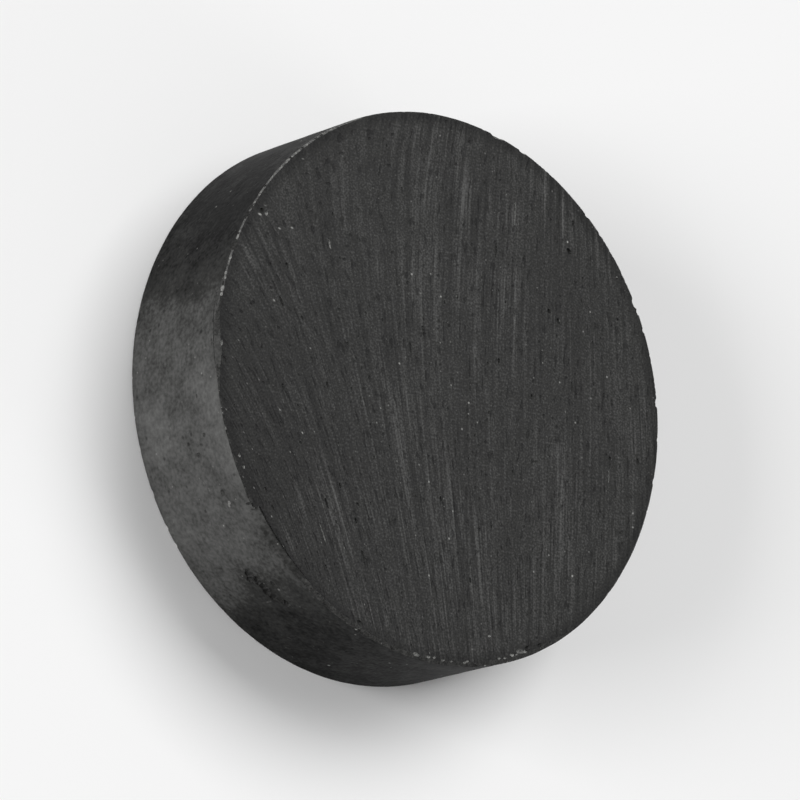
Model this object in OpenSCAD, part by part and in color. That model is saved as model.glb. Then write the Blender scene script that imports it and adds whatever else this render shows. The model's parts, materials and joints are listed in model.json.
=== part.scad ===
// Disc magnet: one solid disc of sintered ferrite. Its two faces are ground flat, its rim is left
// as it was fired, and its brittle edges have chipped. It lies on its lower face, with +Z along
// its axis and the origin in the middle of that face. Angles run counter-clockwise from +X.

/* [Disc] */
// Diameter across the fired rim
disc_d = 20; // [10:0.5:60]
// Thickness between the two ground faces
disc_t = 5; // [3:0.25:15]
// Width of the worn break along both edges
edge_break = 0.08; // [0.02:0.01:0.25]

/* [Long flake off the upper edge] */
// Where its middle is
flake_angle = 178; // [0:1:359]
// Length along the edge
flake_length = 4.2; // [1:0.1:8]
// How far its flat scar leans back from the rim
flake_lean = 27; // [10:1:80]

/* [Split that stops in a step] */
// Where its step is
split_angle = 213.5; // [0:0.5:359]
// Length from the step to where it runs out
split_length = 1.8; // [0.5:0.1:5]
// How far the step cuts into the upper face
split_step = 0.22; // [0.05:0.01:0.4]
// How far its flat scar leans back from the rim
split_lean = 20; // [10:1:80]

/* [Ragged hollow in the rim] */
// Where it starts
hollow_angle = 225; // [0:1:359]
// Height of its start, from 0 at the lower face to 1 at the upper
hollow_height = 0.52; // [0.3:0.01:0.7]
// How wide each of its scoops is
hollow_width = 0.55; // [0.2:0.05:1.2]
// How deep its deepest scoop is
hollow_depth = 0.22; // [0.05:0.01:0.4]

/* [Hidden] */

disc_r = disc_d / 2;
// A flat scar of the flake's length cuts this far into the round face
flake_inset = disc_r - sqrt(disc_r * disc_r - flake_length * flake_length / 4);
// Turn of the split's scar that brings it out of the edge at the split's far end
split_arc = split_length / disc_r * 180 / PI;
split_turn = atan2(disc_r * cos(split_arc) - disc_r + split_step, disc_r * sin(split_arc));
round_fn = 240;
scoop_fn = 64;

// Chips off an edge: [angle, length along the edge, depth, how far the scar leans back from the rim]
upper_chips = [
    [26.5, 0.45, 0.12, 40],
    [68.5, 0.45, 0.10, 60],
    [75.5, 0.80, 0.13, 60],
    [134.5, 0.30, 0.07, 45],
    [161.5, 0.25, 0.07, 45],
    [165, 0.30, 0.09, 45],
    [243.5, 0.55, 0.10, 50],
    [252, 0.25, 0.07, 40],
    [262, 0.60, 0.12, 35],
    [266.5, 0.30, 0.08, 45],
    [272.5, 0.25, 0.07, 60],
    [281, 0.30, 0.08, 50],
    [288.5, 0.35, 0.10, 60],
    [291.5, 0.55, 0.16, 45],
    [293.7, 0.35, 0.14, 65],
    [296.8, 0.40, 0.13, 55],
];
lower_chips = [
    [205, 0.60, 0.14, 30],
    [212.5, 0.25, 0.08, 45],
    [216.5, 0.30, 0.09, 45],
];

// Scoops of the ragged hollow: [degrees on from its start, rise as a share of the thickness,
// width and depth as shares of the hollow's]
hollow_scoops = [
    [0.3, 0.03, 0.6, 0.45],
    [1.8, 0.05, 1.2, 0.9],
    [2.9, -0.01, 0.7, 0.7],
    [3.3, 0.08, 1.15, 1],
    [5, 0.19, 0.5, 0.3],
    [5.2, 0.09, 1, 0.85],
    [6.6, 0.07, 0.75, 0.75],
    [8.2, 0.08, 0.65, 0.7],
    [9.5, 0.12, 0.6, 0.55],
    [10.9, 0.14, 0.6, 0.6],
];

// Pores open at the rim: [angle, height from 0 at the lower face to 1 at the upper, width, depth]
rim_pores = [
    [188.8, 0.74, 0.16, 0.05],
    [193.8, 0.78, 0.22, 0.07],
    [200.2, 0.65, 0.18, 0.06],
    [204, 0.74, 0.25, 0.08],
    [207.8, 0.30, 0.15, 0.05],
    [208.9, 0.73, 0.15, 0.05],
];

// Pores open at the upper face: [angle, distance out as a share of the radius, width, depth]
face_pores = [
    [45.5, 0.83, 0.26, 0.08],
    [36, 0.60, 0.20, 0.06],
    [31.5, 0.62, 0.22, 0.06],
    [164, 0.48, 0.12, 0.04],
    [231, 0.61, 0.14, 0.05],
    [24.8, 0.89, 0.14, 0.05],
];

// A ball that takes a shallow shell-shaped bite out of a surface facing +X at the origin
module scoop(width, depth) {
    ball_r = (width * width / 4 + depth * depth) / (2 * depth);
    translate([ball_r - depth, 0, 0]) sphere(r = ball_r, $fn = scoop_fn);
}

// A block that splits a flat scar off the upper edge at the origin. The scar starts inset from
// the edge on the face, leans back from the rim, and runs from one place along the edge onwards.
module spall(inset, lean, turn, from) {
    translate([-inset, 0, 0])
        rotate([0, -lean, -turn])
            translate([0, from, -disc_r])
                cube([disc_r, disc_d, disc_d]);
}

// Puts a cut on an edge. It leans to face up from the upper edge, or down from the lower one.
module on_edge(angle, lean = 0, upper = true) {
    rotate([0, 0, angle])
        translate([disc_r, 0, upper ? disc_t : 0])
            rotate([0, upper ? -lean : lean, 0])
                children();
}

// Puts a cut on the rim, facing out
module on_rim(angle, height_share) {
    rotate([0, 0, angle]) translate([disc_r, 0, height_share * disc_t]) children();
}

// Puts a cut on the upper face, facing up
module on_face(angle, radius_share) {
    rotate([0, 0, angle]) translate([radius_share * disc_r, 0, disc_t]) rotate([0, -90, 0]) children();
}

// The disc as pressed, fired and ground, with both edges worn
module blank() {
    rotate_extrude($fn = round_fn)
        polygon([
            [0, 0],
            [disc_r - edge_break, 0],
            [disc_r, edge_break],
            [disc_r, disc_t - edge_break],
            [disc_r - edge_break, disc_t],
            [0, disc_t],
        ]);
}

module edge_damage() {
    on_edge(flake_angle) spall(flake_inset, flake_lean, turn = 0, from = -disc_r);
    on_edge(split_angle) spall(split_step, split_lean, split_turn, from = 0);
    for (chip = upper_chips) on_edge(chip[0], chip[3]) scoop(chip[1], chip[2]);
    for (chip = lower_chips) on_edge(chip[0], chip[3], upper = false) scoop(chip[1], chip[2]);
}

module rim_damage() {
    for (bite = hollow_scoops)
        on_rim(hollow_angle + bite[0], hollow_height + bite[1])
            scoop(bite[2] * hollow_width, bite[3] * hollow_depth);
    for (pore = rim_pores) on_rim(pore[0], pore[1]) scoop(pore[2], pore[3]);
}

module face_damage() {
    for (pore = face_pores) on_face(pore[0], pore[1]) scoop(pore[2], pore[3]);
}

module ferrite_disc() {
    color("#3d3d3c")
        difference() {
            blank();
            edge_damage();
            rim_damage();
            face_damage();
        }
}

ferrite_disc();
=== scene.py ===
import json
import math
import random

import bpy
from mathutils import Matrix, Vector

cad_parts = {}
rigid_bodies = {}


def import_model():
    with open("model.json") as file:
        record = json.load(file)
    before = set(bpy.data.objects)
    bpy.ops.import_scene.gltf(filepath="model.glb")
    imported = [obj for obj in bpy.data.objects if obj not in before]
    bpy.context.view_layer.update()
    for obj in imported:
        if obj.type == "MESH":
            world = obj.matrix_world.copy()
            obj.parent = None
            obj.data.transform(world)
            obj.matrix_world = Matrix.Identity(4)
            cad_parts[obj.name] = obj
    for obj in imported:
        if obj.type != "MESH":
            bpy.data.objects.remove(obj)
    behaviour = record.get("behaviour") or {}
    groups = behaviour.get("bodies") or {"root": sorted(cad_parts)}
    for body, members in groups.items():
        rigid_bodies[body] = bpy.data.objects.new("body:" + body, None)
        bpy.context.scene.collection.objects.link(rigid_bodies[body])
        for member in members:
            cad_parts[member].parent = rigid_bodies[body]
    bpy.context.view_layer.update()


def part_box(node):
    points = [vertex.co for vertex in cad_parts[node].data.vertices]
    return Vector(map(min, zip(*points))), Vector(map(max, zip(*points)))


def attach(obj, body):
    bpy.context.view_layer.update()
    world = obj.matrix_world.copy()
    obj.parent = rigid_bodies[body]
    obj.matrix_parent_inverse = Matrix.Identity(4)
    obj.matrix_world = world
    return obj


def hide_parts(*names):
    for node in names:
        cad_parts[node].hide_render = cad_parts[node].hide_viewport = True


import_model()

# A disc magnet of sintered ferrite, lying on its lower face: ground flat on both faces, left as
# it was fired round the rim, and chipped along its edges. Angles are in degrees, counter-clockwise
# from +X. Lengths are in millimetres where a name or a list says so, and in metres elsewhere.

MM = 0.001
low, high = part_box("ferrite_disc")
RADIUS = (high.x - low.x) / 2
THICK = high.z - low.z
RADIUS_MM = RADIUS / MM
THICK_MM = THICK / MM
CENTRE = Vector((0, 0, THICK / 2))

COLUMNS = 720                 # faces round the rim
ROWS = 44                     # faces up the rim
ARRIS = 0.045 * MM            # width of the rubbed break along both edges
ARRIS_ROWS = 2
FACE_RINGS = [0.96, 0.93, 0.90, 0.86, 0.82, 0.75, 0.62, 0.35]      # each ring's size in the last
RUBBED_HIGHLIGHT_ARCS = [[112, 169], [18, 52], [318, 352]]      # degrees of the edges that have worn, and are lighter there, partly as a painted highlight
LEVEL_SLACK = 0.001 * MM      # how far off a level still counts as on it
UPRIGHT = 0.99                # a ground face's normal points at least this straight up or down
SMOOTH_BELOW = 32             # degrees: an edge sharper than this stays sharp

random.seed(11)


# -------------------------------------------------------------------- small helpers

def only(thing):
    """Selects one object, and makes it the one to work on."""
    bpy.ops.object.select_all(action="DESELECT")
    thing.select_set(True)
    bpy.context.view_layer.objects.active = thing
    return thing


def apply_modifiers(thing):
    """Applies all of an object's modifiers, in order."""
    only(thing)
    for modifier in list(thing.modifiers):
        bpy.ops.object.modifier_apply(modifier=modifier.name)


def pick(thing, parts, wanted):
    """Selects an object's edges or faces, and nothing else, whose corners pass a test."""
    only(thing)
    bpy.ops.object.mode_set(mode="EDIT")
    bpy.ops.mesh.select_mode(type="EDGE" if parts == "edges" else "FACE")
    bpy.ops.mesh.select_all(action="DESELECT")
    bpy.ops.object.mode_set(mode="OBJECT")
    points = thing.data.vertices
    for part in getattr(thing.data, parts):
        part.select = wanted([points[i].co for i in part.vertices])
    bpy.ops.object.mode_set(mode="EDIT")


def on_level(places, level):
    """Whether all of these places lie at a level."""
    return all(abs(place.z - level) < LEVEL_SLACK for place in places)


def cloud_texture(name, size_mm, detail):
    """A cloud pattern of a given size, to press a surface in or roughen a break with."""
    clouds = bpy.data.textures.new(name, "CLOUDS")
    clouds.noise_scale = size_mm * MM
    clouds.noise_depth = detail
    return clouds


def on_rim(angle, height_mm, depth_mm=0.0):
    """A place in the rim: an angle, a height, and how far in from the surface."""
    reach = RADIUS - depth_mm * MM
    turn = math.radians(angle)
    return Vector((reach * math.cos(turn), reach * math.sin(turn), height_mm * MM))


def on_face(angle, radius_mm, height_mm):
    """A place on a face: an angle, a distance from the axis, and a height."""
    turn = math.radians(angle)
    reach = radius_mm * MM
    return Vector((reach * math.cos(turn), reach * math.sin(turn), height_mm * MM))


# -------------------------------------------------------------------- materials

def linear(hex_colour):
    """The linear colour of an sRGB hex value."""
    parts = [int(hex_colour[i:i + 2], 16) / 255 for i in (1, 3, 5)]
    return [p / 12.92 if p <= 0.04045 else ((p + 0.055) / 1.055) ** 2.4 for p in parts] + [1.0]


def feed(tree, step, inputs):
    """Sets a node's inputs. Each is a value, a socket, or another node's first output."""
    for name, value in inputs.items():
        if isinstance(value, bpy.types.Node):
            value = value.outputs[0]
        if isinstance(value, bpy.types.NodeSocket):
            tree.links.new(value, step.inputs[name])
        else:
            step.inputs[name].default_value = value


def add(tree, kind, inputs=None, **settings):
    """Adds a node with its settings and inputs."""
    step = tree.nodes.new(kind)
    for name, value in settings.items():
        setattr(step, name, value)
    feed(tree, step, inputs or {})
    return step


def new_material(name):
    """A material with its node tree, shader and place in millimetres, all bare."""
    material = bpy.data.materials.new(name)
    material.use_nodes = True
    tree = material.node_tree
    shader = tree.nodes["Principled BSDF"]
    place = add(tree, "ShaderNodeTexCoord").outputs["Object"]
    place = add(tree, "ShaderNodeVectorMath", {0: place, "Scale": 1 / MM}, operation="SCALE")
    return material, tree, shader, place


def total(tree, parts, start):
    """The sum of several patterns, each with its share and the level that counts as nothing."""
    running = start
    for pattern, share, middle in parts:
        part = add(tree, "ShaderNodeMath", {0: pattern, 1: middle}, operation="SUBTRACT")
        running = add(tree, "ShaderNodeMath", {0: part, 1: share, 2: running}, operation="MULTIPLY_ADD")
    return running


def soft_step(tree, pattern, start, end, first=0.0, last=1.0):
    """Turns a pattern into patches with soft borders, from a first to a last level."""
    return add(tree, "ShaderNodeMapRange", {
        "Value": pattern, "From Min": start, "From Max": end, "To Min": first, "To Max": last,
    }, interpolation_type="SMOOTHSTEP")


def zones(tree, place, spots):
    """Broad soft zones of another tone, painted light and shade: [middle, inner and outer reach in mm,
    level].
    """
    found = []
    for middle, inner, outer, level in spots:
        away = add(tree, "ShaderNodeVectorMath", {0: place, 1: middle}, operation="DISTANCE")
        found.append((soft_step(tree, away.outputs["Value"], inner, outer, 1.0, 0.0), level, 0.0))
    return found


def glints_and_bright_dust(tree, place, spacing, smallest, largest):
    """Scattered light spots of mixed sizes, in mm, most of them tiny: painted glints of crystal facets,
    and bright dust.
    """
    cells = add(tree, "ShaderNodeTexVoronoi", {"Vector": place, "Scale": 1 / spacing}, feature="F1")
    draw = add(tree, "ShaderNodeSeparateXYZ", {0: cells.outputs["Color"]})
    draw = add(tree, "ShaderNodeMath", {0: draw, 1: 6.0}, operation="POWER")
    size = add(tree, "ShaderNodeMath", {
        0: draw, 1: (largest - smallest) / spacing, 2: smallest / spacing}, operation="MULTIPLY_ADD")
    share = add(tree, "ShaderNodeMath", {0: draw, 1: 0.80, 2: 0.20}, operation="MULTIPLY_ADD")
    spot = soft_step(tree, cells.outputs["Distance"], 0.0, size, 1.0, 0.0)
    return add(tree, "ShaderNodeMath", {0: spot, 1: share}, operation="MULTIPLY")


def surface(tree, shader, tone, shades, glints_and_dust, height, relief_mm, roughness, gloss):
    """Gives a shader its shades, from the darkest to the lightest, its light spots (painted glints and
    bright dust), its relief, and its roughness and gloss."""
    colour = add(tree, "ShaderNodeValToRGB", {"Fac": tone})
    colour.color_ramp.elements.new(0.4)
    for stop, shade in zip(colour.color_ramp.elements, shades):
        stop.color = linear(shade)
    # The light grey spots mixed in here are painted glints, and bright dust.
    lit = add(tree, "ShaderNodeMix", {0: glints_and_dust, 6: colour, 7: linear("#a8a8a5")}, data_type="RGBA")
    bump = add(tree, "ShaderNodeBump", {"Height": height, "Strength": 1.0, "Distance": relief_mm * MM})
    feed(tree, shader, {
        "Base Color": lit.outputs[2], "Normal": bump, "Roughness": roughness, "Specular IOR Level": gloss})


# The wheel's lines fan out across the face. Along each one, in mm,
# x + y (A + B x + C y + D x x + E x y) stays the same.
A, B, C, D, E = 0.065, -0.038, -0.011, 0.004, 0.0023
LOWER_TURN = 128                      # degrees that the lower face's lines are turned by


def ground_ferrite(name, turn, seed):
    """Sintered ferrite ground flat: dull charcoal, combed by the wheel into fine curved lines of
    slightly lighter and darker grey, with dark pores, torn-out dashes, a few light spots of painted
    glints and dust, and painted shade along its edge and towards one side."""
    material, tree, shader, place = new_material(name)
    place = add(tree, "ShaderNodeMapping", {"Vector": place, "Rotation": (0, 0, math.radians(turn))})
    x, y, z = add(tree, "ShaderNodeSeparateXYZ", {0: place}).outputs
    lean = add(tree, "ShaderNodeMath", {0: x, 1: D, 2: B}, operation="MULTIPLY_ADD")
    lean = add(tree, "ShaderNodeMath", {0: y, 1: E, 2: lean}, operation="MULTIPLY_ADD")
    lean = add(tree, "ShaderNodeMath", {0: x, 1: lean, 2: A}, operation="MULTIPLY_ADD")
    lean = add(tree, "ShaderNodeMath", {0: y, 1: C, 2: lean}, operation="MULTIPLY_ADD")
    line = add(tree, "ShaderNodeMath", {0: y, 1: lean, 2: x}, operation="MULTIPLY_ADD")
    combed = add(tree, "ShaderNodeCombineXYZ", {0: line, 1: y, 2: seed})

    def streaks(width, length, shift, detail=1.0):
        """Streaks of a width and length in millimetres."""
        laid = add(tree, "ShaderNodeMapping", {
            "Vector": combed, "Location": (shift, shift, shift), "Scale": (1 / width, 1 / length, 1)})
        return add(tree, "ShaderNodeTexNoise", {"Vector": laid, "Scale": 1.0, "Detail": detail})

    fine = streaks(0.085, 2.8, 3.1)
    middle = streaks(0.20, 6.0, 17.3)
    broad = streaks(1.30, 14.0, 31.7)
    blots = streaks(0.30, 0.6, 71.1)
    torn = soft_step(tree, streaks(0.14, 0.5, 47.9, 0.0), 0.66, 0.76)
    ridges = soft_step(tree, streaks(0.16, 9.0, 59.3, 0.0), 0.62, 0.74)
    patches = add(tree, "ShaderNodeTexNoise", {"Vector": place, "Scale": 0.33, "Detail": 2.0})
    grain = add(tree, "ShaderNodeTexNoise", {"Vector": place, "Scale": 13.0, "Detail": 1.0})
    shown = add(tree, "ShaderNodeMapRange", {
        "Value": patches, "From Min": 0.35, "From Max": 0.65, "To Min": 0.35, "To Max": 1.5})
    pores = add(tree, "ShaderNodeTexVoronoi", {"Vector": combed, "Scale": 1.9}, feature="F1")
    pores = soft_step(tree, pores.outputs["Distance"], 0.05, 0.15, 1.0, 0.0)
    glints_and_dust = glints_and_bright_dust(tree, combed, 0.38, 0.04, 0.065)
    # Painted shade: the face is darker in a band along its edge, over its last 0.65 mm.
    axis = add(tree, "ShaderNodeVectorMath", {0: place, 1: (1, 1, 0)}, operation="MULTIPLY")
    reach = add(tree, "ShaderNodeVectorMath", {0: axis}, operation="LENGTH").outputs["Value"]
    painted_edge_shade = soft_step(tree, reach, RADIUS_MM - 0.65, RADIUS_MM - 0.15)

    comb = total(tree, [(fine, 0.55, 0.5), (middle, 0.47, 0.5), (ridges, 0.14, 0.05)], 0.0)
    comb = add(tree, "ShaderNodeMath", {0: comb, 1: shown}, operation="MULTIPLY")
    # Painted shade: the face is darker towards its -X, -Y side.
    painted_shade_side = zones(tree, place, [((-11, -5, THICK_MM), 2, 12, -0.10)])
    tone = total(tree, painted_shade_side + [
        (comb, 1.0, 0.0), (broad, 0.11, 0.5), (patches, 0.11, 0.5), (grain, 1.0, 0.5),
        (blots, 0.26, 0.5), (torn, -0.26, 0.03), (pores, -0.32, 0.04), (painted_edge_shade, -0.22, 0.0)], 0.38)
    height = total(tree, [
        (comb, 1.0, 0.0), (grain, 0.5, 0.5), (torn, -0.8, 0.0), (pores, -1.5, 0.0)], 0.0)
    surface(tree, shader, tone, ("#0c0c0c", "#282827", "#5a5a59"), glints_and_dust, height, 0.006, 0.55, 0.20)
    return material


# Painted light and shade on the fired rim: lighter where floor light falls on it and is
# reflected by it, darker where shade and the disc's own shadow fall and inside the hollow:
# [angle, height, inner and outer reach in mm, level]
FIRED_LIGHT_AND_SHADE = [
    [195.5, 2.5, 2.2, 8.0, 0.32], [222.0, 0.2, 0.5, 3.0, 0.20], [140.0, 2.5, 2.0, 6.3, -0.35],
    [266.0, 2.5, 2.5, 7.6, -0.29], [230.0, 2.9, 0.2, 1.3, -0.20]]


def fired_ferrite():
    """Ferrite as it left the kiln: smooth, cloudy dark grey with a dull sheen, fine grain, small
    pits and a few spots of bright dust, with broad zones of painted light and shade on it."""
    material, tree, shader, place = new_material("as_fired_ferrite")
    clouds = add(tree, "ShaderNodeTexNoise", {"Vector": place, "Scale": 0.45, "Detail": 2.0})
    mottle = add(tree, "ShaderNodeTexNoise", {"Vector": place, "Scale": 1.5, "Detail": 3.0})
    grain = add(tree, "ShaderNodeTexNoise", {"Vector": place, "Scale": 7.0, "Detail": 3.0})
    pits = add(tree, "ShaderNodeTexVoronoi", {"Vector": place, "Scale": 1.7}, feature="F1")
    pits = soft_step(tree, pits.outputs["Distance"], 0.05, 0.17, 1.0, 0.0)
    glints_and_dust = glints_and_bright_dust(tree, place, 0.45, 0.04, 0.075)
    # The rim's zones paint light and shade into its colour.
    spots = [(on_rim(angle, height) / MM, *rest) for angle, height, *rest in FIRED_LIGHT_AND_SHADE]
    tone = total(tree, zones(tree, place, spots) + [
        (clouds, 0.6, 0.5), (mottle, 0.38, 0.5), (grain, 0.60, 0.5), (pits, -0.2, 0.03)], 0.36)
    gloss = total(tree, [(mottle, 0.10, 0.5), (grain, 0.14, 0.5)], 0.1)
    height = total(tree, [(mottle, 1.0, 0.5), (grain, 0.8, 0.5), (pits, -1.0, 0.0)], 0.0)
    surface(tree, shader, tone, ("#0c0c0c", "#2c2c2b", "#626261"), glints_and_dust, height, 0.012, 0.65, gloss)
    return material


def broken_ferrite(name, shades, roughness, gloss):
    """Ferrite where it has broken: dark grey and sugary, with light spots that are painted glints."""
    material, tree, shader, place = new_material(name)
    lumps = add(tree, "ShaderNodeTexNoise", {"Vector": place, "Scale": 5.0, "Detail": 3.0})
    crystals = add(tree, "ShaderNodeTexVoronoi", {"Vector": place, "Scale": 14.0}, feature="F1")
    crystals = crystals.outputs["Distance"]
    glints_and_dust = glints_and_bright_dust(tree, place, 0.3, 0.02, 0.10)
    tone = total(tree, [(lumps, 0.95, 0.5), (crystals, 0.55, 0.45)], 0.4)
    height = total(tree, [(lumps, 1.0, 0.5), (crystals, 0.6, 0.5)], 0.0)
    surface(tree, shader, tone, shades, glints_and_dust, height, 0.03, roughness, gloss)
    return material


MATERIALS = [
    ground_ferrite("ground_ferrite_upper", 0, 2.0),
    ground_ferrite("ground_ferrite_lower", LOWER_TURN, 23.0),
    fired_ferrite(),
    # Dark broken ferrite, darkened further as painted shade in hollows, pits and grooves.
    broken_ferrite("dull_broken_ferrite_painted_shade", ("#0d0d0d", "#222221", "#444443"), 0.6, 0.2),
    # Fresh broken ferrite, lighter than the rest and partly painted glints.
    broken_ferrite("fresh_broken_ferrite_painted_glints", ("#30302f", "#6a6a68", "#acaca9"), 0.4, 0.5),
    broken_ferrite("split_ferrite", ("#121211", "#2a2a29", "#4e4e4c"), 0.6, 0.2),
    # Rubbed ferrite, lighter where the edges are worn, partly as a painted highlight.
    broken_ferrite("rubbed_ferrite_painted_highlight", ("#1e1e1d", "#444443", "#8a8a86"), 0.5, 0.5),
]
UPPER, LOWER, RIM, DULL_AND_SHADED, FRESH_AND_GLINTING, SPLIT, RUBBED_AND_HIGHLIGHT = range(7)


# -------------------------------------------------------------------- the disc as it was made

def unevenness(thing, name, size_mm, depth_mm):
    """Presses a surface in by up to a depth, in soft hollows of a given size."""
    push = thing.modifiers.new(name, "DISPLACE")
    push.texture = cloud_texture(name, size_mm, 1)
    push.texture_coords = "GLOBAL"
    push.strength = depth_mm * MM
    push.mid_level = 1.0


def whole_disc():
    """The disc before it was chipped: an uneven fired rim between two flat ground faces."""
    bpy.ops.object.select_all(action="DESELECT")
    bpy.ops.mesh.primitive_cylinder_add(
        vertices=COLUMNS, radius=RADIUS, depth=THICK, end_fill_type="NOTHING", location=CENTRE)
    disc = bpy.context.object
    disc.name = "chipped_disc"
    bpy.ops.object.transform_apply(location=True, rotation=True, scale=True)
    pick(disc, "edges", lambda ends: abs(ends[0].z - ends[1].z) > THICK / 2)
    bpy.ops.mesh.subdivide(number_cuts=ROWS - 1)
    bpy.ops.object.mode_set(mode="OBJECT")
    unevenness(disc, "out_of_true", 7.0, 0.030)
    unevenness(disc, "soft_hollows", 0.9, 0.014)
    unevenness(disc, "fired_grain", 0.22, 0.008)
    apply_modifiers(disc)

    for level in (0, THICK):
        pick(disc, "edges", lambda ends: on_level(ends, level))
        bpy.ops.mesh.edge_face_add()
        bpy.ops.object.mode_set(mode="OBJECT")
    pick(disc, "edges", lambda ends: on_level(ends, 0) or on_level(ends, THICK))
    bpy.ops.mesh.bevel(offset=ARRIS, segments=ARRIS_ROWS, affect="EDGES")
    bpy.ops.object.mode_set(mode="OBJECT")
    pick(disc, "polygons", lambda corners: len(corners) == COLUMNS)
    for share in FACE_RINGS:
        bpy.ops.mesh.extrude_region()
        bpy.ops.transform.resize(value=(share, share, 1), center_override=CENTRE)
    bpy.ops.object.mode_set(mode="OBJECT")
    for material in MATERIALS:
        disc.data.materials.append(material)
    for face in disc.data.polygons:
        height = face.center.z
        if face.normal.z > UPRIGHT:
            face.material_index = UPPER
        elif face.normal.z < -UPRIGHT:
            face.material_index = LOWER
        # An edge's narrow break takes the light rubbed look, partly a painted highlight, in the rubbed
        # arcs, and the dark look with painted shade elsewhere.
        elif min(height, THICK - height) < ARRIS:
            angle = math.degrees(math.atan2(face.center.y, face.center.x)) % 360
            in_highlight_arc = any(start < angle < end for start, end in RUBBED_HIGHLIGHT_ARCS)
            face.material_index = RUBBED_AND_HIGHLIGHT if in_highlight_arc else DULL_AND_SHADED
        else:
            face.material_index = RIM

    # Flat facets, so that whatever a cut leaves of one is flat too.
    pick(disc, "polygons", lambda corners: True)
    bpy.ops.mesh.quads_convert_to_tris()
    bpy.ops.object.mode_set(mode="OBJECT")
    return disc


disc = whole_disc()


# -------------------------------------------------------------------- what has broken away

cutters = bpy.data.collections.new("broken_away")
bpy.context.scene.collection.children.link(cutters)


COARSE = cloud_texture("coarse_break", 0.30, 2)
SUGARY = cloud_texture("sugary_break", 0.10, 2)
INSET_MM = 0.02               # how far in from the rim an edge's chips and nicks are centred
ROUGH_SHARE = 0.5             # how rough a break is, as a share of its depth
CHIP_GIRTH = 2.6              # how wide a chip off an edge is at most, in depths
SPLINTER_STEP = 0.9           # degrees from one facet of a splinter to the next
FACET_MM = 0.26               # a facet's length, so long that neighbours overlap
FACET_REACH_MM = 0.3          # how far the cut behind a facet reaches out, past the disc


def rounded_shape(name, fineness, smallest, largest):
    """A rounded shape, 2 wide, with its corners pulled in or out at random by a share."""
    bpy.ops.object.select_all(action="DESELECT")
    bpy.ops.mesh.primitive_ico_sphere_add(subdivisions=fineness, radius=1.0)
    shape = bpy.context.object
    shape.name = name
    for corner in shape.data.vertices:
        corner.co *= random.uniform(smallest, largest)
    return shape


def slab_shape():
    """A flat slab, 2 by 2, standing 1 high on its middle, all in three-sided facets."""
    bpy.ops.object.select_all(action="DESELECT")
    bpy.ops.mesh.primitive_grid_add(x_subdivisions=8, y_subdivisions=8, size=2.0)
    shape = bpy.context.object
    bpy.ops.object.mode_set(mode="EDIT")
    bpy.ops.mesh.select_all(action="SELECT")
    bpy.ops.mesh.extrude_region_move(TRANSFORM_OT_translate={"value": (0, 0, 1)})
    bpy.ops.mesh.select_all(action="SELECT")
    bpy.ops.mesh.normals_make_consistent(inside=False)
    bpy.ops.mesh.quads_convert_to_tris()
    bpy.ops.object.mode_set(mode="OBJECT")
    return shape


LUMP = rounded_shape("lump", 3, 0.97, 1.03)
PEBBLE = rounded_shape("pebble", 2, 0.72, 1.12)
SLAB = slab_shape()


def sink(shape, place, axes, size_mm, look, rough_mm=0.0, spin=0.0):
    """Sinks a copy of a shape at a place. Its size is its length, its girth and how deep it goes."""
    copy = shape.copy()
    copy.data = shape.data.copy()
    length, girth, depth = size_mm
    stretch = Matrix.Diagonal((length * MM / 2, girth * MM / 2, depth * MM, 1))
    turned = Matrix.Rotation(spin, 4, (1, 1, 1))
    copy.data.transform(Matrix.Translation(place) @ axes @ stretch @ turned)
    copy.data.materials.append(MATERIALS[look])
    cutters.objects.link(copy)
    for texture, share in ((COARSE, 1.0), (SUGARY, 0.7)):
        if rough_mm > 0:
            push = copy.modifiers.new(texture.name, "DISPLACE")
            push.texture = texture
            push.texture_coords = "GLOBAL"
            push.strength = share * rough_mm * MM
            push.mid_level = 0.5


def facing(angle, tip, upper=True):
    """Axes of a break in the rim: along the edge, across it, and straight out of the scar.
    The tip is how far the scar's outward direction leans from the disc's axis to its rim."""
    turn, lean = math.radians(angle), math.radians(tip)
    out = Vector((math.cos(turn), math.sin(turn), 0))
    up = Vector((0, 0, 1 if upper else -1))
    outward = out * math.sin(lean) + up * math.cos(lean)
    along = Vector((-math.sin(turn), math.cos(turn), 0))
    return Matrix((along, outward.cross(along), outward)).transposed().to_4x4()


def wheel_axes(place, turn=0):
    """Axes at a place on a ground face: along the wheel's line, across it, and straight up."""
    x, y, z = Matrix.Rotation(math.radians(turn), 3, "Z") @ place / MM
    across = Vector((
        1 + y * (B + 2 * D * x + E * y), A + B * x + 2 * C * y + D * x * x + 2 * E * x * y, 0))
    up = Vector((0, 0, 1))
    along = up.cross(across.normalized())
    axes = Matrix((along, up.cross(along), up)).transposed().to_4x4()
    return Matrix.Rotation(math.radians(-turn), 4, "Z") @ axes


def edge_chip(angle, length_mm, depth_mm, tip, look, upper=True):
    """A chip off an edge."""
    place = on_rim(angle, THICK_MM if upper else 0.0, INSET_MM)
    size = (length_mm, min(length_mm, CHIP_GIRTH * depth_mm), depth_mm)
    sink(LUMP, place, facing(angle, tip, upper), size, look, ROUGH_SHARE * depth_mm)


def rim_pit(angle, height_mm, length_mm, girth_mm, depth_mm, look):
    """A pit or a scrape in the rim."""
    place = on_rim(angle, height_mm)
    size = (length_mm, girth_mm, depth_mm)
    sink(LUMP, place, facing(angle, 90), size, look, ROUGH_SHARE * depth_mm)


def face_pit(angle, radius_mm, length_mm, girth_mm, depth_mm, look):
    """A pit in the upper face, drawn out along the edge."""
    place = on_face(angle, radius_mm, THICK_MM)
    size = (length_mm, girth_mm, depth_mm)
    sink(LUMP, place, facing(angle, 0), size, look, ROUGH_SHARE * depth_mm)


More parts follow.
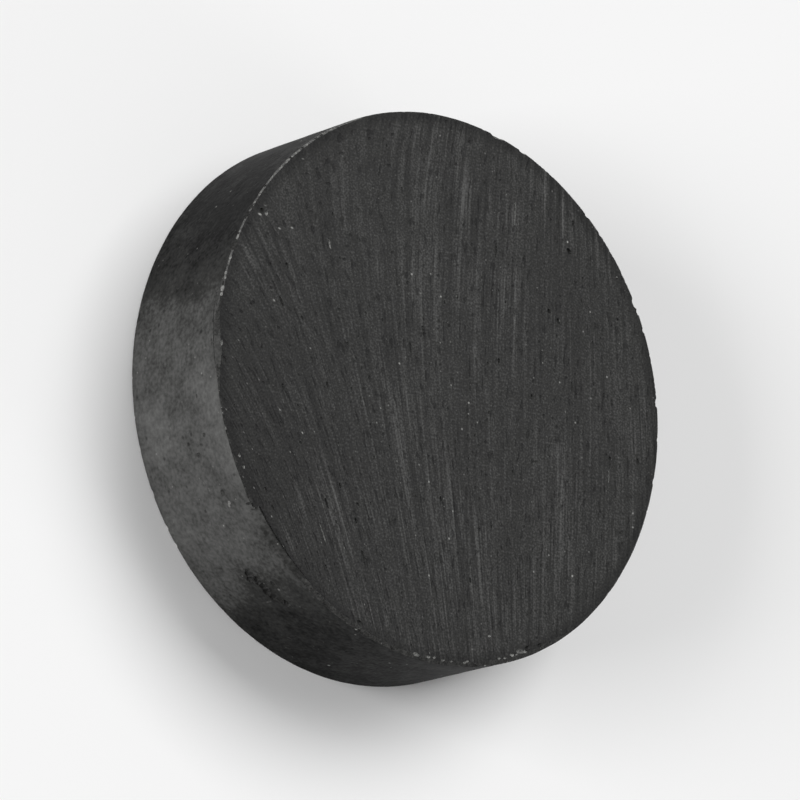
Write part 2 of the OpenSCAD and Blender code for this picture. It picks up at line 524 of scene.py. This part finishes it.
def stations(rows, step):
    """Walks along rows of [angle, sizes], in degrees, and gives the sizes in between."""
    for first, last in zip(rows, rows[1:]):
        count = max(1, round((last[0] - first[0]) / step))
        for number in range(count):
            share = (number + 0.5) / count
            yield [start + share * (end - start) for start, end in zip(first, last)]


def splinter(rows, look):
    """A long splinter off the upper edge, in short facets: [angle, inset, drop in mm]. The inset
    is how far it reaches into the face, and the drop how far it reaches down the rim."""
    for angle, inset, drop in stations(rows, SPLINTER_STEP):
        inset *= random.uniform(0.85, 1.15)
        drop *= random.uniform(0.85, 1.15)
        tip = math.degrees(math.atan2(drop, inset))
        place = on_rim(angle, THICK_MM - drop / 2, inset / 2)
        girth = 1.5 * math.hypot(inset, drop) + 0.1      # past the scar on both sides
        sink(SLAB, place, facing(angle, tip), (FACET_MM, girth, FACET_REACH_MM), look, 0.02)


# Long splinters off the upper edge: [angle, inset, drop in mm], and the look of the scar. The
# narrow one on the left turns from the rim to the face. The broad one starts at a step.
SPLINTERS = [
    ([[112.0, 0.09, 0.13], [136.0, 0.08, 0.13], [150.0, 0.06, 0.09], [159.0, 0.04, 0.06]], RUBBED_AND_HIGHLIGHT),
    ([[160.0, 0.02, 0.24], [172.0, 0.03, 0.28], [177.5, 0.15, 0.20]], SPLIT),
    ([[177.5, 0.16, 0.20], [180.5, 0.22, 0.14], [183.5, 0.17, 0.08]], RIM),
    ([[183.5, 0.16, 0.08], [188.5, 0.05, 0.04]], SPLIT),
    ([[213.8, 0.22, 0.32], [218.0, 0.21, 0.26], [223.0, 0.21, 0.15], [231.0, 0.19, 0.07]], RIM),
    ([[231.0, 0.19, 0.07], [246.0, 0.19, 0.06], [262.0, 0.16, 0.06], [298.0, 0.20, 0.07],
      [306.0, 0.05, 0.05]], SPLIT)]

# The fine groove along a splinter: [angle, distance from the axis or height, width in mm]. It is
# a row of short pits, each a step of degrees from the last.
SPLIT_GROOVE_STEP, FLAKE_GROOVE_STEP = 0.45, 0.6
SPLIT_GROOVE = [[213.8, 9.74, 0.07], [223.5, 9.75, 0.06], [232.0, 9.77, 0.02]]
FLAKE_GROOVE = [[161.0, 4.74, 0.02], [167.0, 4.71, 0.05], [172.0, 4.70, 0.06], [176.0, 4.77, 0.06],
                [184.5, 4.91, 0.03]]

# Chips along the edges: [angle, length and depth in mm, tip, look]
UPPER_CHIPS = [
    [26.5, 0.45, 0.12, 40, DULL_AND_SHADED], [68.5, 0.35, 0.09, 60, FRESH_AND_GLINTING], [75.5, 0.65, 0.11, 60, RUBBED_AND_HIGHLIGHT],
    [133.2, 0.18, 0.07, 45, DULL_AND_SHADED], [143.0, 0.40, 0.06, 45, RUBBED_AND_HIGHLIGHT], [161.0, 0.20, 0.07, 45, FRESH_AND_GLINTING],
    [164.6, 0.14, 0.06, 45, FRESH_AND_GLINTING], [169.2, 0.18, 0.06, 45, FRESH_AND_GLINTING], [178.8, 0.22, 0.05, 30, RUBBED_AND_HIGHLIGHT],
    [210.9, 0.60, 0.08, 50, DULL_AND_SHADED]]
LOWER_CHIPS = [
    [205.0, 0.35, 0.07, 30, DULL_AND_SHADED], [212.5, 0.20, 0.07, 45, FRESH_AND_GLINTING], [216.5, 0.24, 0.07, 45, FRESH_AND_GLINTING]]

# Tiny bright beads of fresh ferrite along the worn edge, lighter partly as painted glints: [from angle,
# to angle, distance from the axis in mm, how many]
BEADS = [
    [113, 148, 9.97, 28], [148, 170, 9.97, 9], [198, 206, 9.72, 3], [264, 287, 9.80, 9],
    [287.5, 292.2, 9.76, 12]]

BEAD_SPREAD_MM = 0.03         # how far a bead strays from its place, in or out
BEAD_SIZES_MM = (0.09, 0.15)
BEAD_DEPTH_MM = 0.05

# The ragged hollow in the rim, in the dark look that paints shade into it: [angle, height, length, girth
# and depth in mm]
HOLLOW = [
    [225.9, 2.78, 0.28, 0.22, 0.08], [227.0, 2.74, 0.46, 0.40, 0.17], [228.0, 2.56, 0.30, 0.26, 0.14],
    [228.6, 2.93, 0.50, 0.42, 0.19], [230.0, 3.55, 0.28, 0.22, 0.06], [230.4, 2.97, 0.46, 0.42, 0.22],
    [231.8, 2.90, 0.40, 0.30, 0.17], [233.1, 2.99, 0.40, 0.34, 0.20], [234.4, 3.18, 0.36, 0.22, 0.13],
    [235.6, 3.34, 0.42, 0.30, 0.17]]

# Pits and scrapes in the rim: [angle, height, length, girth and depth in mm, look]
RIM_MARKS = [
    [188.8, 3.70, 0.16, 0.12, 0.04, SPLIT], [196.6, 3.74, 0.20, 0.20, 0.04, SPLIT],
    [200.2, 3.18, 0.20, 0.26, 0.05, SPLIT], [208.7, 3.76, 0.28, 0.26, 0.05, SPLIT],
    [206.9, 3.74, 0.10, 0.20, 0.04, RUBBED_AND_HIGHLIGHT],
    [211.0, 3.86, 0.16, 0.13, 0.05, FRESH_AND_GLINTING], [211.5, 3.79, 0.18, 0.12, 0.05, FRESH_AND_GLINTING],
    [212.2, 4.82, 0.12, 0.34, 0.05, SPLIT],
    [204.7, 2.80, 0.24, 0.09, 0.03, RUBBED_AND_HIGHLIGHT],
    [206.0, 2.95, 0.24, 0.09, 0.03, RUBBED_AND_HIGHLIGHT], [207.3, 3.10, 0.24, 0.09, 0.03, RUBBED_AND_HIGHLIGHT],
    [231.8, 3.56, 0.14, 0.14, 0.04, RUBBED_AND_HIGHLIGHT], [234.0, 2.56, 0.10, 0.40, 0.04, SPLIT]]

# Pits in the upper face: [angle, distance from the axis, length, girth and depth in mm, look]
FACE_MARKS = [
    [45.5, 8.30, 0.26, 0.18, 0.08, DULL_AND_SHADED], [36.0, 6.00, 0.20, 0.14, 0.06, DULL_AND_SHADED],
    [31.5, 6.20, 0.22, 0.15, 0.06, DULL_AND_SHADED], [24.8, 8.90, 0.14, 0.10, 0.05, DULL_AND_SHADED],
    [231.0, 6.10, 0.14, 0.10, 0.05, DULL_AND_SHADED], [179.2, 9.77, 0.20, 0.09, 0.05, FRESH_AND_GLINTING],
    [147.4, 9.36, 0.16, 0.14, 0.05, FRESH_AND_GLINTING], [147.6, 9.56, 0.18, 0.16, 0.06, DULL_AND_SHADED],
    [247.3, 9.68, 0.28, 0.14, 0.06, DULL_AND_SHADED], [262.7, 9.84, 0.32, 0.16, 0.03, RUBBED_AND_HIGHLIGHT],
    [265.5, 9.82, 0.10, 0.08, 0.05, DULL_AND_SHADED],
    [283.1, 8.94, 0.12, 0.10, 0.04, FRESH_AND_GLINTING], [290.6, 9.70, 0.32, 0.20, 0.05, RUBBED_AND_HIGHLIGHT],
    [292.9, 9.70, 0.30, 0.20, 0.10, DULL_AND_SHADED], [296.3, 9.77, 0.25, 0.14, 0.08, DULL_AND_SHADED]]

# Gouges in the upper face, along the wheel's lines: [x, y, length, girth and depth in mm, look]
FACE_GOUGES = [
    [-3.58, -6.62, 0.55, 0.14, 0.06, DULL_AND_SHADED], [-7.2, 2.0, 0.40, 0.12, 0.05, DULL_AND_SHADED],
    [2.4, 5.4, 0.60, 0.10, 0.04, DULL_AND_SHADED], [5.9, 0.9, 0.35, 0.10, 0.05, DULL_AND_SHADED],
    [-1.5, 1.2, 0.45, 0.09, 0.04, DULL_AND_SHADED], [-5.2, -4.9, 0.40, 0.10, 0.05, DULL_AND_SHADED],
    [-5.36, -6.0, 0.80, 0.05, 0.03, FRESH_AND_GLINTING], [3.3, 6.9, 0.9, 0.05, 0.03, FRESH_AND_GLINTING],
    [-5.1, 4.4, 0.35, 0.07, 0.03, FRESH_AND_GLINTING], [7.6, -2.2, 0.5, 0.05, 0.03, FRESH_AND_GLINTING]]


def break_the_disc():
    """Lays out everything that has broken away."""
    for rows, look in SPLINTERS:
        splinter(rows, look)
    for angle, radius, width in stations(SPLIT_GROOVE, SPLIT_GROOVE_STEP):
        face_pit(angle, radius, 0.13, width, 0.65 * width, DULL_AND_SHADED)
    for angle, height, width in stations(FLAKE_GROOVE, FLAKE_GROOVE_STEP):
        rim_pit(angle, height, 0.16, width, 0.04, DULL_AND_SHADED)
    for chip in UPPER_CHIPS:
        edge_chip(*chip)
    for chip in LOWER_CHIPS:
        edge_chip(*chip, upper=False)
    for start, end, radius, count in BEADS:
        for number in range(count):
            reach = radius + random.uniform(-BEAD_SPREAD_MM, BEAD_SPREAD_MM)
            size = random.uniform(*BEAD_SIZES_MM)
            angle = random.uniform(start, end)
            face_pit(angle, reach, size, 0.7 * size, BEAD_DEPTH_MM, FRESH_AND_GLINTING)
    for part in HOLLOW:
        rim_pit(*part, DULL_AND_SHADED)
    for mark in RIM_MARKS:
        rim_pit(*mark)
    for mark in FACE_MARKS:
        face_pit(*mark)
    for x, y, length, girth, depth, look in FACE_GOUGES:
        place = Vector((x * MM, y * MM, THICK))
        sink(LUMP, place, wheel_axes(place), (length, girth, depth), look, 0.02)


# Where an edge's nicks are, as [share of them, from angle, to angle]: all round, and three
# stretches where they are thicker
NICKED_STRETCHES = [[0.55, 0, 360], [0.17, 240, 300], [0.14, 118, 170], [0.14, 20, 80]]
NICK_MM = 0.11                # a usual nick's length
NICK_DROP_MM = 0.012          # how far from its ground face a nick is centred
GLINTING_SHARE = 0.22            # the share of nicks that are fresh and light, partly as painted glints
PORE_MM = 0.12                # a usual pore's length
LONGEST_PORE_MM = 0.25
PORED_SHARE = 0.97            # the pores keep to this share of the faces' radius


def small_nicks(count, largest, upper):
    """Nicks all along an edge, none longer than the largest."""
    for share, start, end in NICKED_STRETCHES:
        for number in range(round(share * count)):
            angle = random.uniform(start, end)
            length = min(largest, random.lognormvariate(math.log(NICK_MM), 0.5))
            place = on_rim(angle, THICK_MM - NICK_DROP_MM if upper else NICK_DROP_MM, INSET_MM)
            axes = facing(angle, random.uniform(15, 75), upper)
            look = FRESH_AND_GLINTING if random.random() < GLINTING_SHARE else DULL_AND_SHADED
            size = (length, 0.6 * length, 0.28 * length)
            sink(PEBBLE, place, axes, size, look, spin=random.uniform(0, 2 * math.pi))


def small_pores(count):
    """Pores torn out of both ground faces, drawn out a little along the wheel's lines."""
    for number in range(count):
        angle = random.uniform(0, 360)
        reach = PORED_SHARE * RADIUS_MM * math.sqrt(random.random())
        upper = number % 3 > 0                # two pores in three are in the upper face
        place = on_face(angle, reach, THICK_MM if upper else 0.0)
        length = min(LONGEST_PORE_MM, random.lognormvariate(math.log(PORE_MM), 0.4))
        axes = wheel_axes(place, 0 if upper else LOWER_TURN)
        size = (length, 0.55 * length, 0.23 * length)
        sink(PEBBLE, place, axes, size, DULL_AND_SHADED, spin=random.uniform(0, 2 * math.pi))


break_the_disc()
small_nicks(330, 0.5, True)
small_nicks(150, 0.16, False)
small_pores(150)
for shape in (LUMP, PEBBLE, SLAB):
    bpy.data.objects.remove(shape)

cut = disc.modifiers.new("broken_away", "BOOLEAN")
cut.operation = "DIFFERENCE"
cut.operand_type = "COLLECTION"
cut.collection = cutters
cut.solver = "MANIFOLD"
cut.material_mode = "TRANSFER"
apply_modifiers(disc)
for shape in list(cutters.objects):
    bpy.data.objects.remove(shape)
bpy.data.collections.remove(cutters)


def finish_shading(disc):
    """Shades the rim and the breaks smooth, and the ground faces flat."""
    only(disc)
    bpy.ops.object.shade_smooth_by_angle(angle=math.radians(SMOOTH_BELOW))
    for face in disc.data.polygons:
        if disc.data.materials[face.material_index].name.startswith("ground"):
            face.use_smooth = False


finish_shading(disc)
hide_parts("ferrite_disc")
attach(disc, "root")


# -------------------------------------------------------------------- floor, lights and camera

FLOOR_SIZE = 6.0
FLOOR_GAP = 0.005 * MM        # how far below the disc the floor lies
SURROUND = 0.21               # how bright the even surround is
CAMERA_AZIMUTH, CAMERA_ELEVATION = 200.9, 49.85
CAMERA_DISTANCE = 0.21
LENS, SENSOR = 265, 36        # in mm: long, for little perspective


def pale_floor():
    """A plain pale sheet, a hair below the disc so that the two don't share a plane."""
    bpy.ops.object.select_all(action="DESELECT")
    bpy.ops.mesh.primitive_plane_add(size=FLOOR_SIZE, location=(0, 0, -FLOOR_GAP))
    floor = bpy.context.object
    floor.name = "floor"
    material = bpy.data.materials.new("pale_sheet")
    material.use_nodes = True
    shader = material.node_tree.nodes["Principled BSDF"]
    shader.inputs["Base Color"].default_value = linear("#f7f7f7")
    shader.inputs["Roughness"].default_value = 1.0
    shader.inputs["Specular IOR Level"].default_value = 0.0
    floor.data.materials.append(material)


def softbox(name, azimuth, elevation, width, height, share, reach=0.8):
    """An oblong lamp aimed at the disc. Its share is how much of a full white it gives the floor."""
    turn, rise = math.radians(azimuth), math.radians(elevation)
    towards = Vector((math.cos(turn) * math.cos(rise), math.sin(turn) * math.cos(rise), math.sin(rise)))
    lamp = bpy.data.lights.new(name, "AREA")
    lamp.shape = "RECTANGLE"
    lamp.size = width
    lamp.size_y = height
    lamp.energy = share * (math.pi * reach) ** 2 / math.sin(rise)
    stand = bpy.data.objects.new(name, lamp)
    bpy.context.scene.collection.objects.link(stand)
    stand.location = CENTRE + towards * reach
    stand.rotation_euler = towards.to_track_quat("Z", "Y").to_euler()


def studio():
    """A dim even surround, a broad soft key from behind, and a lower lamp on each side."""
    world = bpy.data.worlds.new("studio")
    world.use_nodes = True
    world.node_tree.nodes["Background"].inputs["Color"].default_value = (1, 1, 1, 1)
    world.node_tree.nodes["Background"].inputs["Strength"].default_value = SURROUND
    bpy.context.scene.world = world
    softbox("key", 58, 58, 1.05, 0.87, 0.59, reach=1.4)
    softbox("left", 182, 20, 0.4, 0.3, 0.25)
    softbox("right", 332, 16, 0.3, 0.3, 0.04)


def aim_camera():
    """Looks down on the disc with its Y axis upright in the picture."""
    turn, rise = math.radians(CAMERA_AZIMUTH), math.radians(CAMERA_ELEVATION)
    back = Vector((math.cos(turn) * math.cos(rise), math.sin(turn) * math.cos(rise), math.sin(rise)))
    right = Vector((0, 1, 0)).cross(back).normalized()
    up = back.cross(right)
    camera = bpy.data.objects.new("camera", bpy.data.cameras.new("camera"))
    bpy.context.scene.collection.objects.link(camera)
    camera.matrix_world = Matrix.Translation(CENTRE + back * CAMERA_DISTANCE) @ Matrix(
        (right, up, back)).transposed().to_4x4()
    camera.data.lens = LENS
    camera.data.sensor_width = SENSOR
    camera.data.clip_start = 0.01
    bpy.context.scene.camera = camera


pale_floor()
studio()
aim_camera()
bpy.context.scene.view_settings.view_transform = "Standard"
